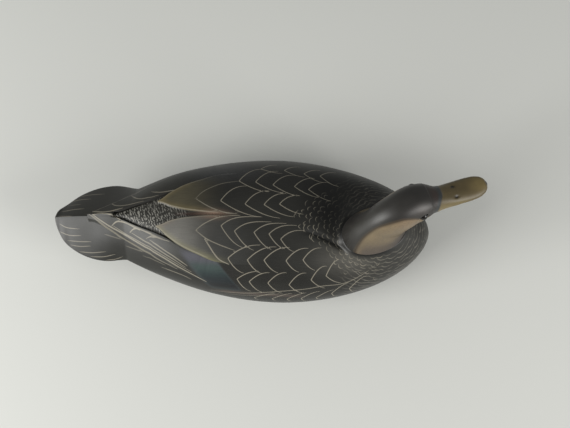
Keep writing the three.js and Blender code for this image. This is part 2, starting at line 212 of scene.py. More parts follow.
def back_fields(x, side):
    """Fields of feathers from the ridge out, each with its outer edge, steps and lift."""
    reach = half_breadth(x, side)
    primaries = primary_lift(x, side)
    tertials = np.where(x < TERTIAL_TIP, 0, tertial_relief(x))
    rump = np.where(x < RUMP_REAR, primaries, 0)
    seam = np.maximum(rump, primaries * ease(x, -122, -108))
    return [
        (np.minimum(rump_edge(x), reach * 0.3), 12, rump),
        (np.minimum(tertial_edge(x), reach * 0.8), 34, np.maximum(rump, tertials)),
        (np.minimum(primary_inner_edge(x), reach * 0.84), 3, seam),
        (np.minimum(primary_outer_edge(x), reach * 0.95), 25, primaries),
        (reach, 30, 0 * x),
    ]


def head_to_body(x, y):
    """Plan of a point of the turned head, from its own frame."""
    c, s = math.cos(HEAD_TURN), math.sin(HEAD_TURN)
    return HEAD_X + x * c - y * s, HEAD_Y + x * s + y * c


def body_to_head(x, y):
    c, s = math.cos(HEAD_TURN), math.sin(HEAD_TURN)
    dx, dy = x - HEAD_X, y - HEAD_Y
    return dx * c + dy * s, dy * c - dx * s


SEAT_MIDDLE, SEAT_HALF_LENGTH, SEAT_HALF_WIDTH = 50.5, 33.5, 24.0


def around_seat(x, y):
    """How far a plan point lies outside the neck's seat, by halving, and its turn from behind the neck."""
    hx, hy = body_to_head(x, y)
    along, across = FAN_PIVOT - SEAT_MIDDLE - hx, np.abs(hy)
    low, high = np.full_like(along, -22.0), np.full_like(along, 400.0)
    for _ in range(24):
        middle = (low + high) / 2
        out = (np.abs(along / (SEAT_HALF_LENGTH + middle)) ** 2.1
               + (across / (SEAT_HALF_WIDTH + middle)) ** 2.27) > 1
        low, high = np.where(out, middle, low), np.where(out, high, middle)
    return (low + high) / 2, np.arctan2(hy, along)


def with_neck(x, y, z):
    """The fillet at the neck: from the seat it falls as (1 - t)^2.2 down to the back."""
    offset, turn = around_seat(x, y)
    rearward = np.maximum(np.cos(turn), 0)
    t = np.clip(offset / (FILLET_WIDTH + (FILLET_REAR_WIDTH - FILLET_WIDTH) * rearward), 0, 1)
    return z + (SEAT_HEIGHT - z) * (1 - t) ** 2.2


def near_path(x, y, path):
    """Distance in plan to a line through points, and the signed side of it."""
    best = np.full(np.shape(x), 1e3)
    side = np.zeros(np.shape(x))
    for (ax, ay), (bx, by) in zip(path[:-1], path[1:]):
        length = math.hypot(bx - ax, by - ay)
        t = np.clip(((x - ax) * (bx - ax) + (y - ay) * (by - ay)) / length ** 2, 0, 1)
        d = np.hypot(x - ax - t * (bx - ax), y - ay - t * (by - ay))
        cross = ((bx - ax) * (y - ay) - (by - ay) * (x - ax)) / length
        side = np.where(d < best, cross, side)
        best = np.minimum(d, best)
    return best, side


VALLEY = [(16, -13.5), (28, -15.5), (38, -18.5), (48, -22.5), (57, -27), (66, -31)]


def carving(x, y):
    """Low relief at the shoulder: a knife valley beside the neck, and the swell on its right."""
    distance, side = near_path(x, y, VALLEY)
    depth = 2.6 * ease(x, 12, 40) * (1 - ease(x, 58, 74))
    swell = 2.2 * bell(x, 62, 34) * bell(y, -44, 15)
    return swell - depth * np.exp(-(distance / 2.8) ** 2) * np.where(side > 0, 1, 0.9)


# Meshes

def add_mesh(name, points, faces, material, vectors=None, colours=None):
    """Mesh from point and face arrays in millimetres, smooth, with per-point values for its paint."""
    mesh = bpy.data.meshes.new(name)
    mesh.from_pydata((points * MM).tolist(), [], faces)
    mesh.polygons.foreach_set("use_smooth", np.ones(len(mesh.polygons), bool))
    for kind, field, values in (("FLOAT_VECTOR", "vector", vectors or {}), ("FLOAT_COLOR", "color", colours or {})):
        for key, value in values.items():
            attribute = mesh.attributes.new(key, kind, "POINT")
            attribute.data.foreach_set(field, np.asarray(value, np.float32).ravel())
    mesh.materials.append(material)
    mesh.update()
    piece = bpy.data.objects.new(name, mesh)
    bpy.context.scene.collection.objects.link(piece)
    return piece


def ring_faces(rings, around, first_cap=True):
    """Quads between rings of points, and a fan of triangles to the point at each end."""
    i, j = np.meshgrid(np.arange(rings - 1), np.arange(around), indexing="ij")
    a = i * around + j
    b = i * around + (j + 1) % around
    quads = np.stack([a, a + around, b + around, b], -1).reshape(-1, 4).tolist()
    j = np.arange(around)
    after = (j + 1) % around
    start, last = rings * around, (rings - 1) * around
    front = np.column_stack([np.full(around, start), j, after]).tolist()
    back = np.column_stack([np.full(around, start + 1), last + after, last + j]).tolist()
    return quads + front + back


def body_stations():
    """Positions of the rings: even, closer at both ends, and a pair at every cut across the feathers."""
    u = np.arange(1, 15) / 14
    ends = 6 * u ** 2
    even = np.linspace(TAIL_END + 6, BREAST_END - 6, 332)[1:-1]
    cuts = np.array([PRIMARY_TIP, PRIMARY_TIP + PRIMARY_TIP_GAP, RUMP_REAR, TERTIAL_TIP])
    even = even[np.abs(even[:, None] - cuts).min(1) > 0.6]
    return np.sort(np.concatenate([TAIL_END + ends, even, BREAST_END - ends, cuts, cuts - CUT_WIDTH]))


BELLY_STEPS = 23


def half_ring(x, side):
    """One half of every ring from ridge to keel: y, z, way from the ridge, and the share across each wing field."""
    ys, zs, plain, field_number = [], [], [], []
    start = np.zeros_like(x)
    for number, (edge, steps, lift) in enumerate(back_fields(x, side)):
        first = start if number == 0 else start + np.minimum(CUT_WIDTH, edge * 0.02)
        t = np.linspace(0, 1, steps + 1)[None, 1 if number == 0 else 0:]
        t = np.sin(np.pi / 2 * t) if number == 4 else t
        y = side * (first[:, None] + (edge - first)[:, None] * t)
        x2 = x[:, None] + 0 * y
        flat = plain_back(x2, y)
        ys.append(y)
        plain.append(flat)
        zs.append(with_neck(x2, y, flat + carving(x2, y) + np.broadcast_to(np.asarray(lift)[:, None], y.shape)))
        field_number.append(np.full(y.shape, number))
        start = edge
    t = np.arange(1, BELLY_STEPS + 1) / (BELLY_STEPS + 1)
    share = np.cos(np.pi / 2 * t) ** 0.8
    y = side * half_breadth(x, side)[:, None] * share[None]
    low = belly(x[:, None] + 0 * y, y)
    ys.append(y)
    zs.append(low)
    plain.append(low)
    field_number.append(np.full(y.shape, 5))
    y, z, flat = (np.concatenate(part, 1) for part in (ys, zs, plain))
    ridge = plain_back(x, 0 * x)
    dy = np.diff(y, axis=1, prepend=0)
    dz = np.diff(flat, axis=1, prepend=ridge[:, None])
    way = side * np.cumsum(np.hypot(dy, dz), axis=1)
    return y, z, way, np.concatenate(field_number, 1)


def join_halves(left, right, ridge, keel):
    return np.concatenate([ridge[:, None], left, keel[:, None], right[:, ::-1]], 1)


def body_surface():
    """Every point of the body in rings, with its way over the back and its field."""
    x = body_stations()
    ly, lz, lw, lf = half_ring(x, 1)
    ry, rz, rw, rf = half_ring(x, -1)
    rump = np.maximum(back_fields(x, 1)[0][2], back_fields(x, -1)[0][2])
    zero = 0 * x
    ridge = with_neck(x, zero, plain_back(x, zero) + carving(x, zero) + rump)
    y = join_halves(ly, ry, zero, zero)
    z = join_halves(lz, rz, ridge, belly(x, zero))
    way = join_halves(lw, rw, zero, lw[:, -1] + np.abs(ly[:, -1]))
    field = join_halves(lf, rf, zero, zero + 5)
    xx = x[:, None] + 0 * y
    points = np.stack([xx, y, z], -1)
    ends = np.array([[TAIL_END, 0, TAIL_POINT_HEIGHT], [BREAST_END, 0, side_line(BREAST_END)]])
    flat = np.vstack([points.reshape(-1, 3), ends])
    way = np.append(way.ravel(), [0, 0])
    field = np.append(field.ravel(), [4, 4])
    return flat, way, field, points.shape[0], points.shape[1]


# Paint strokes, laid out on the pelt: x along the bird, and the way over the back from the ridge

def pelt(points):
    """Plan points, x and y, as points of the pelt."""
    x, y = np.array(points, float).T
    return np.column_stack([x, arc_length(x, y)])


def through(points, steps=6):
    """Catmull-Rom curve through a few points."""
    p = np.array(points, float)
    p = np.vstack([2 * p[0] - p[1], p, 2 * p[-1] - p[-2]])
    t = np.linspace(0, 1, steps, endpoint=False)[:, None, None]
    a, b, c, d = p[:-3], p[1:-2], p[2:-1], p[3:]
    q = (2 * b + (c - a) * t + (2 * a - 5 * b + 4 * c - d) * t ** 2 + (3 * b - a - 3 * c + d) * t ** 3) / 2
    return np.vstack([q.transpose(1, 0, 2).reshape(-1, 2), p[-2]])


def leg(tip, length, height, fullness, shown=1.0):
    """One side of a feather's tip: along t it rises as 1 - (1 - t)^fullness."""
    t = shown * np.linspace(0, 1, 15) ** 1.5
    whole = 1 - (1 - shown) ** fullness
    return np.column_stack([tip[0] + length * t / shown, tip[1] + height * (1 - (1 - t) ** fullness) / whole])


def feather(tip, outer, inner):
    """Edge of a feather: in along its outer side to the tip, and back along its inner side."""
    return np.vstack([leg(tip, *outer)[::-1], leg(tip, *inner)[1:]])


def along_row(tips, outer, inner):
    """A row of feathers whose sides change evenly from the first to the last."""
    strokes = []
    for i, tip in enumerate(tips):
        t = i / max(len(tips) - 1, 1)
        sides = [[(1 - t) * a + t * b for a, b in zip(*ends)] for ends in (outer, inner)]
        strokes.append(feather(tip, *sides))
    return strokes


# Feather rows of the back: tips, then outer and inner sides of the first and last feather,
# as length, height, fullness and the share of the side that shows
BACK_ROWS = [
    ([(-26.6, 59.5), (-2, 58), (18.9, 54), (35.9, 52.3)],
     ((16, 9, 2.2, 1), (17, 9, 2.2, 1)), ((22, -7, 1.8, 1), (19, -13, 1.8, 1))),
    ([(-48.5, 39.6), (-31.2, 38.7), (-13, 35.5), (9.3, 34.8), (24, 32.1)],
     ((24, 19.5, 2.3, 1), (19, 11, 2.2, 1)), ((31, -13, 1.8, 1), (23, -10.5, 1.8, 1))),
    ([(-65.8, 14.3), (-40.7, 11.7), (-21.2, 11.8), (-5.5, 13.1)],
     ((25.7, 18.8, 2.4, 1), (20, 11, 2.4, 1)), ((42, -15.8, 1.8, 1), (24.5, -9.6, 1.8, 1))),
    ([(-63.9, -12.4), (-50.1, -17.1), (-30.2, -17.8), (-15, -19), (-3, -23.6)],
     ((22, -21, 2.0, 0.8), (13, -12, 2.0, 0.8)), ((41, 10.8, 4, 1), (23, 10, 2.6, 1))),
    ([(-56, -45.2), (-36.2, -46.2), (-19.2, -45.8), (3.1, -45.4), (20.3, -43.7)],
     ((15.7, -15.3, 2.1, 0.8), (12, -10, 2.1, 0.8)), ((32, 14.7, 2.2, 1), (18, 13.6, 2.2, 1))),
    ([(-46.5, -68.1), (-34, -70.6), (-14.8, -71.3), (6.9, -72.2), (29.3, -65), (44.5, -59.2)],
     ((13.5, -16, 2.1, 0.8), (15, -8, 2.1, 0.8)), ((22, 10, 2.1, 1), (13, 18, 2.1, 1))),
    ([(-29, -97), (-10.4, -96.8), (5.3, -96.3), (19.9, -94.4), (35.6, -93), (51.6, -84), (70, -77)],
     ((4, -5, 2, 1), (6, -10, 2, 1)), ((21, 11, 2, 0.8), (16, 18, 2, 0.8))),
]
FLANK_BOUNDARY = [(-76, -92), (-55, -90.5), (-33, -87.7), (-2, -82), (25, -77), (41, -72), (60, -69), (72, -64),
                  (83, -56.5), (88, -52.5)]


def back_strokes(layer):
    """Pale edges of the back feathers, row by row. Neighbours are in different layers, so that none blur together."""
    strokes = []
    for row, (tips, outer, inner) in enumerate(BACK_ROWS):
        for number, path in enumerate(along_row(tips, outer, inner)):
            if (row + number) % 2 == layer:
                strokes.append((path, 0.85, 0.92 if row > 3 else 0.8))
    if layer == 0:
        strokes.append((through(FLANK_BOUNDARY), 0.9, 0.7))
    else:
        strokes.append((through([(-60, -95), (-45, -94), (-30, -92.5), (-10, -88), (0, -85)]), 0.7, 0.5))
    return strokes


def small_marks(layer):
    """Short pale crescents in staggered rows round the neck, each bowed away from it."""
    chance = np.random.default_rng(7)
    strokes = []
    for row in range(11):
        offset = 3.5 + 5.0 * row
        step = (7.2 + 0.22 * row) / (30 + offset)
        for turn in np.arange(-1.9, 1.9, step) + (row % 2) * step / 2:
            jitter = chance.normal(0, 1, 6)
            bow = 1.3 + 0.35 * jitter[4]
            half = 2.5 + 0.55 * jitter[3]
            around = turn + jitter[0] * 0.02 + np.linspace(-half, half, 9) / (30 + offset)
            out = offset + jitter[1] * 0.8 + bow * (1 - np.linspace(-1, 1, 9) ** 2)
            out = out + jitter[5] * 0.5 * np.linspace(-1, 1, 9)
            hx = -(SEAT_HALF_LENGTH + out) * signed_power(np.cos(around), 0.95)
            hy = (SEAT_HALF_WIDTH + out) * signed_power(np.sin(around), 0.9)
            x, y = head_to_body(FAN_PIVOT - SEAT_MIDDLE + hx, hy)
            cx, cy = x.mean(), y.mean()
            on_back = cx > 8 and abs(cy + 1) < 6 + 0.85 * (cx - 8) and cx < 100 and -54 < cy < 46
            if on_back and row % 2 == layer:
                # Painted light and shade: marks brighter where light falls on the back and right shoulder, dimmer in
                # the shade left of the neck.
                lit = 0.42 + 0.4 * bell(cx, 28, 22) * bell(cy, -4, 22) + 0.35 * bell(cy, -40, 16)
                dim = 1 - 0.8 * bell(cx, 66, 26) * ease(cy, -12, 8)
                tone = float(lit * dim * (0.85 + 0.2 * jitter[2]))
                strokes.append((pelt(np.column_stack([x, y])), 0.62, tone))
    return strokes


# Quill lines of the right wing, in plan: points, width and strength
RIGHT_WING = [
    ([(-199, -0.5), (-194, 0.6), (-188, 0.6), (-180, -0.5), (-174, -3), (-169, -6)], 1.6, 1.0),
    ([(-169, -6), (-152, -13.2), (-137, -20), (-120, -27)], 1.0, 0.45),
    ([(-178, -10.8), (-174, -8), (-170, -7.4), (-163, -9), (-157, -11.8), (-148, -16.5)], 1.5, 1.0),
    ([(-159, -17.8), (-155, -15.2), (-150, -15), (-144, -17), (-138, -20.3), (-129, -24.5)], 1.4, 0.95),
    ([(-141, -24.8), (-136, -23.6), (-130, -24), (-124, -25.8), (-117, -28)], 1.3, 0.75),
    ([(-205, 1.2), (-199, -2.6), (-186, -11.3), (-177, -16.5), (-168, -21.6), (-154, -29.5), (-140, -37.2),
      (-127, -44.3), (-109, -52.5)], 1.3, 0.6),
    ([(-198, -1), (-190, -6.3), (-181, -11.6), (-172, -16), (-163, -20.6), (-154, -25.8), (-145, -30.8),
      (-135, -36.3), (-122, -43.2), (-109, -50.2), (-92, -58), (-79, -63.5)], 1.5, 0.9),
    ([(-157, -18.6), (-149, -23.3), (-140, -28.6), (-131, -33.6), (-122, -39), (-113, -44), (-100, -51.5)], 1.2, 0.75),
]
RIGHT_WING_TWINS = [
    ([(-178, -10.8), (-172, -14.2), (-165, -18.3), (-154, -24.2), (-145, -29), (-135, -34.4), (-122, -41.3),
      (-108, -48.8), (-94, -55.5)], 1.0, 0.7),
    ([(-137, -26.8), (-131, -30.2), (-122, -36), (-113, -41.3), (-104, -46.8), (-98, -50.3)], 1.2, 0.75),
    ([(-146, -38.8), (-131, -44.6), (-122, -48.6)], 0.9, 0.4),
    ([(-126, -49.8), (-114, -54), (-103, -57.8), (-95, -61)], 1.1, 0.6),
]
LEFT_WING = [
    ([(-201, 3.4), (-195, 3.2), (-189, 2.6), (-181, 3.2), (-174, 5.2), (-168, 7)], 1.5, 0.85),
    ([(-181.5, 13), (-175, 10.4), (-165, 10.6), (-147, 14.6)], 1.2, 0.62),
    ([(-162.5, 24), (-155, 19), (-147, 18), (-132, 21)], 1.2, 0.62),
    ([(-139.5, 26.6), (-131, 24.7), (-122, 25.4), (-113.5, 27.2)], 1.2, 0.62),
    ([(-197, 4.7), (-177, 16.4), (-154, 32.6)], 1.0, 0.42),
]
LEFT_WING_TWINS = [([(-193, 8.4), (-176, 18.6), (-156, 32.4), (-140, 37)], 0.8, 0.3)]
TAIL = [
    ([(-222, 27.4), (-209, 29), (-195, 29.6)], 0.55), ([(-229.5, 21), (-219, 22.6), (-208, 23)], 0.6),
    ([(-230, 15.3), (-218, 15.8)], 0.35), ([(-236.5, 7), (-224, 9), (-212, 9.7)], 0.75),
    ([(-238, 0.8), (-223, 0.3)], 0.6), ([(-237, -6.9), (-229, -10.6), (-216, -12.2)], 0.8),
    ([(-237, -14.2), (-227, -17.8), (-214, -18.5)], 0.8), ([(-228.5, -22.8), (-216, -24), (-203, -24.3)], 0.75),
    ([(-225.3, -27), (-215, -28.6), (-204, -28.3)], 0.7), ([(-215.6, -33.5), (-202, -34.6), (-188, -33.6)], 0.8),
    ([(-203.7, -38.2), (-190, -38.2), (-178, -35.8)], 0.8), ([(-188, -41.4), (-178, -40), (-170, -37.5)], 0.75),
]


def tail_strokes():
    """Quills of the tail fan, set in a little from its edge."""
    strokes = [(pelt(through(points)), 0.9, 0.9 * strength) for points, strength in TAIL]
    strokes += [(pelt(through(points)), 1.2, 0.35) for points in
                ([(-188, -17.5), (-170, -22.5)], [(-165, -28.5), (-146, -35.5)])]
    return strokes


def tertial_strokes():
    """Edges of the long feathers over the rump: their outlines and an inner feather on each wing."""
    x = np.linspace(TERTIAL_TIP, -66, 24)
    strokes = []
    for side in (1, -1):
        inner = pelt(np.column_stack([x, side * (rump_edge(x) + 0.9)]))
        outer = pelt(np.column_stack([x[:20], side * (tertial_edge(x[:20]) - 0.9)]))
        strokes.append((inner, 1.1, 0.5))
        strokes.append((outer, 1.2, 0.22 if side > 0 else 0.55))
    strokes += [
        (through([(-91.8, 16.2), (-84, 25), (-72, 32.5), (-62, 36.5), (-47.4, 39.7)]), 0.9, 0.4),
        (through([(-91.8, 16.2), (-77.3, 7.5), (-61.5, 2), (-48, 1)]), 1.0, 0.6),
        (through([(-89.6, -17.6), (-81.3, -10.8), (-69.4, -4.7), (-57.3, -1.6), (-45, -0.6)]), 1.0, 0.7),
        (through([(-89.6, -17.6), (-77.6, -26.2), (-64.1, -32), (-49.8, -36.6)]), 1.0, 0.65),
        (through([(-80, -26.4), (-75, -33.5), (-70, -41), (-64, -47.5), (-55, -51.5)]), 1.2, 0.85),
    ]
    return strokes


def wing_strokes(lines):
    return [(pelt(through(points)), width, strength) for points, width, strength in lines]


def lay_strokes(where, strokes, reach=6.0):
    """For each point of the pelt, its nearest stroke: signed distance in half widths, distance in mm, strength."""
    signed, near, strength = np.full(len(where), 9.0), np.full(len(where), 9.0), np.zeros(len(where))
    for path, width, tone in strokes:
        low, high = path.min(0) - reach, path.max(0) + reach
        here = np.flatnonzero(np.all((where > low) & (where < high), axis=1))
        p = where[here][:, None]
        a, b = path[:-1], path[1:]
        d = b - a
        length = np.maximum(np.hypot(d[:, 0], d[:, 1]), 1e-6)
        along = np.clip(((p - a) * d).sum(-1) / length ** 2, 0, 1)
        off = p - a - along[..., None] * d
        distance = np.hypot(off[..., 0], off[..., 1])
        cross = (d[:, 0] * (p - a)[..., 1] - d[:, 1] * (p - a)[..., 0]) / length
        pick = np.argmin(distance - 1e-3 * np.abs(cross), axis=1)
        row = np.arange(len(here))
        distance, cross = distance[row, pick], cross[row, pick]
        t = (pick + along[row, pick]) / len(a)
        half = width / 2 * (0.45 + 0.55 * np.minimum(1, 5 * np.minimum(t, 1 - t)))
        closer = distance < near[here]
        here, distance, cross, half = here[closer], distance[closer], cross[closer], half[closer]
        near[here] = distance
        signed[here] = np.where(cross < 0, -1, 1) * distance / half
        strength[here] = tone
    return np.column_stack([np.clip(signed, -9, 9), near, strength])


# Colours

def linear(code):
    """An sRGB hex colour as linear light: ((c + 0.055) / 1.055)^2.4 above 0.04, c / 12.92 below."""
    c = np.array([int(code[i:i + 2], 16) for i in (1, 3, 5)]) / 255
    return np.where(c > 0.04045, ((c + 0.055) / 1.055) ** 2.4, c / 12.92)


def glaze(ground, code, amount):
    """Lays a colour over the ground, thicker or thinner by the amount."""
    amount = np.clip(amount, 0, 1)[:, None]
    return ground * (1 - amount) + linear(code) * amount


def within(value, low, high, soft):
    """1 between low and high, with soft edges."""
    return ease(value, low - soft / 2, low + soft / 2) * (1 - ease(value, high - soft / 2, high + soft / 2))


def paint_body(points, way, field):
    """Ground colours of the body, glazed one over the other from the dark undercoat up, with painted sheen, highlights
    and shade laid in among them.
    """
    x, y, z = points.T
    side = np.sign(y)
    back = field < 5
    ground = np.tile(linear("#1b1a17"), (len(x), 1))
    tail = (1 - ease(x, -186, -150)) * back
    ground = glaze(ground, "#24231f", tail)
    # Painted sheen: the right half of the tail fan, the side facing the light, glazed lighter grey.
    ground = glaze(ground, "#2c2c2a", tail * (side < 0) * 0.9)
    ground = glaze(ground, "#6f6f70", tail * bell(x, -192, 12) * bell(y, -17, 8) * 0.5)
    # Painted light: a broad lighter glaze over the back, centred just right of the ridge on the side facing the light.
    ground = glaze(ground, "#262622", bell(way, -14, 55) * back * 0.6)
    wing = within(x, -206, -60, 6) * (field == 3)
    # The primaries glazed grey-brown; the right wing's lighter grey is painted sheen of the side facing the light.
    ground = glaze(ground, "#353532", wing * (side < 0) * (1 - ease(x, -112, -78)) * 0.85)
    ground = glaze(ground, "#2a2925", wing * (side > 0) * (1 - ease(x, -120, -85)) * 0.8)
    wall = primary_inner_edge(x) - np.abs(y)
    rump = within(x, RUMP_REAR, -86, 5) * (field == 0) + within(x, RUMP_REAR, TERTIAL_TIP, 1) * (field == 1)
    rump = np.maximum(rump, within(x, RUMP_REAR, -118, 1) * (field == 2))
    ground = glaze(ground, "#262521", rump * 0.9)
    wedge = within(x, -110, -84, 8) * (1 - ease(np.abs(y), 0.5, 2.4)) * (field == 0)
    ground = glaze(ground, "#2a1b16", wedge)
    # Painted shadow: near black along the foot of the primaries' inner wall, where the raised wing shades the rump;
    # fainter on the left.
    step = within(x, -180, -116, 4) * (field == 2) * (1 - ease(wall, 1.1, 1.9))
    ground = glaze(ground, "#060605", step * np.where(side < 0, 1, 0.6))
    tertial = within(x, TERTIAL_TIP, -20, 1) * (field == 1)
    fade = 1 - ease(x, -112, -58)
    # Tertials in grey-tan paint; the right ones glazed lighter grey, partly as painted sheen of the side facing the
    # light.
    ground = glaze(ground, "#4b4636", tertial * fade * (side > 0) * 0.95)
    ground = glaze(ground, "#6b6964", tertial * fade * (side < 0) * 0.95)
    ground = glaze(ground, "#3c3c3a", tertial * (side < 0) * bell(x, -62, 22) * 0.6)
    rim = np.clip((np.abs(y) - tertial_edge(x) + 8) / 8, 0, 1) ** 1.6
    ground = glaze(ground, "#6d6243", tertial * rim * (side > 0) * (1 - ease(x, -116, -84)) * 0.75)
    ground = glaze(ground, "#7a7659", tertial * rim * (side < 0) * (1 - ease(x, -80, -48)) * 0.75)
    low = np.clip((rump_edge(x) + 8 - np.abs(y)) / 8, 0, 1) ** 1.6
    ground = glaze(ground, "#6f6342", tertial * low * (side > 0) * (1 - ease(x, -100, -62)) * 0.7)
    ground = glaze(ground, "#7d7062", tertial * low * (side < 0) * (1 - ease(x, -120, -104)) * 0.5)
    blush = bell(x, -73, 15) * bell(way, -0.5, 4.5)
    ground = glaze(ground, "#7b6556", blush * 0.8)
    ground = paint_speculum(ground, x, way, field)
    ground = glaze(ground, "#363739", (side > 0) * within(way, 42, 78, 24) * bell(x, -68, 34) * 0.8)
    # Near black behind and left of the neck: dark paint together with painted shade in the hollow that the head shades.
    neck = ease(x, 6, 44) * back
    ground = glaze(ground, "#0e0d0b", neck * ease(y, -12, 10) * (1 - ease(x, 96, 122)))
    ground = glaze(ground, "#070705", bell(x, 62, 24) * bell(y, 18, 30) * back)
    # Painted highlight: the swell of the right shoulder glazed light grey where the light falls on it.
    ground = glaze(ground, "#55534d", bell(x, 66, 30) * bell(y, -38, 14) * back * 0.9)
    ground = glaze(ground, "#262521", ease(x, 98, 128) * 0.85)
    # Painted shade: near black along the knife valley beside the neck.
    valley, _ = near_path(x, y, VALLEY)
    dark = ease(x, 14, 34) * (1 - ease(x, 56, 70)) * back
    ground = glaze(ground, "#080806", np.exp(-(valley / 2.6) ** 2) * dark * 0.9)
    # Painted shade: near black where the neck meets the back, behind it and on its right.
    seat, turn = around_seat(x, y)
    painted_crease_shade = np.exp(-(np.maximum(seat, 0) / 3.2) ** 2) * (1 - ease(np.abs(turn + 0.5), 1.1, 2.0)) * back
    ground = glaze(ground, "#050504", painted_crease_shade)
    ground = glaze(ground, "#5d5049", bell(way, -89, 2.5) * within(x, -66, 20, 20) * 0.5)
    under = np.where(back, 0, 1 - ease(z, 20, 60))
    return glaze(ground, "#1d1c19", under * 0.6)


def paint_speculum(ground, x, way, field):
    """Wing patch of the right side: lavender, teal, steel blue and navy, one after the other down the wing."""
    down = -way
    rear = -102 + (down - 43) * 0.73
    front = -67 + (down - 49.5) * 0.69
    patch = ease(x, rear - 5, rear + 4) * (1 - ease(x, front - 2, front + 2)) * (1 - ease(down, 78, 88))
    patch = patch * ease(down, tertial_edge(x) - 1, tertial_edge(x) + 4) * (field > 1)
    bands = [("#4a4a51", 38), ("#374442", 51), ("#263132", 60), ("#161d21", 67), ("#0a0c10", 76)]
    for code, start in bands:
        ground = glaze(ground, code, patch * ease(down, start - 5, start + 5))
    return ground


# Materials

def node(tree, kind, settings=None, **links):
    """Adds one node: settings are its properties or socket values, links its input sockets by name."""
    made = tree.nodes.new(kind)
    for key, value in (settings or {}).items():
        if isinstance(key, int) or key in made.inputs.keys():
            made.inputs[key].default_value = value
        else:
            setattr(made, key, value)
    for key, value in links.items():
        socket = made.inputs[int(key[1:])] if key[1:].isdigit() else made.inputs[key.replace("_", " ")]
        tree.links.new(value, socket)
    return made


def start_material(name):
    material = bpy.data.materials.new(name)
    material.use_nodes = True
    tree = material.node_tree
    tree.nodes.clear()
    return material, tree


def finish_material(tree, settings, **links):
    shader = node(tree, "ShaderNodeBsdfPrincipled", settings, **links)
    output = node(tree, "ShaderNodeOutputMaterial")
    tree.links.new(shader.outputs[0], output.inputs["Surface"])


def maths(tree, operation, a, b=None, c=None):
    """One Math node; numbers become socket values."""
    made = tree.nodes.new("ShaderNodeMath")
    made.operation = operation
    for socket, value in zip(made.inputs, (a, b, c)):
        if value is None:
            continue
        if isinstance(value, (int, float)):
            socket.default_value = value
        else:
            tree.links.new(value, socket)
    return made.outputs[0]


def attribute(tree, name):
    return node(tree, "ShaderNodeAttribute", {"attribute_name": name})


def parts_of(tree, vector):
    return node(tree, "ShaderNodeSeparateXYZ", _0=vector).outputs


def rgba(code):
    return (*linear(code), 1)


def mix_colour(tree, amount, a, b, blend="MIX"):
    """Mix node for colours: a and b are sockets or hex colours."""
    made = node(tree, "ShaderNodeMix", {"data_type": "RGBA", "blend_type": blend})
    for index, value in ((0, amount), (6, a), (7, b)):
        if isinstance(value, str):
            made.inputs[index].default_value = rgba(value)
        elif isinstance(value, (int, float)):
            made.inputs[index].default_value = value
        else:
            tree.links.new(value, made.inputs[index])
    return made.outputs[2]


def stretched_noise(tree, vector, scale, detail=4.0, roughness=0.6):
    """Noise on a vector scaled by each of its three parts, in 1/mm."""
    scaled = node(tree, "ShaderNodeVectorMath", {"operation": "MULTIPLY", 1: scale}, _0=vector)
    return node(tree, "ShaderNodeTexNoise", {"Scale": 1.0, "Detail": detail, "Roughness": roughness},
                Vector=scaled.outputs[0]).outputs[0]


def band(tree, value, low, high, start=0.0, end=1.0):
    made = node(tree, "ShaderNodeMapRange",
                {"interpolation_type": "SMOOTHSTEP", 1: low, 2: high, 3: start, 4: end}, _0=value)
    return made.outputs[0]


def stroke_mask(tree, name, wobble):
    """Painted line from its attribute: full inside the half width, worn at the rim by the wobble."""
    signed, near, strength = parts_of(tree, attribute(tree, name).outputs["Vector"])
    ragged = maths(tree, "ADD", maths(tree, "ABSOLUTE", signed), wobble)
    line = band(tree, ragged, 0.7, 1.35, 1.0, 0.0)
    close = band(tree, near, 0.8, 1.2, 1.0, 0.0)
    return maths(tree, "MULTIPLY", maths(tree, "MULTIPLY", line, close), strength), signed, close


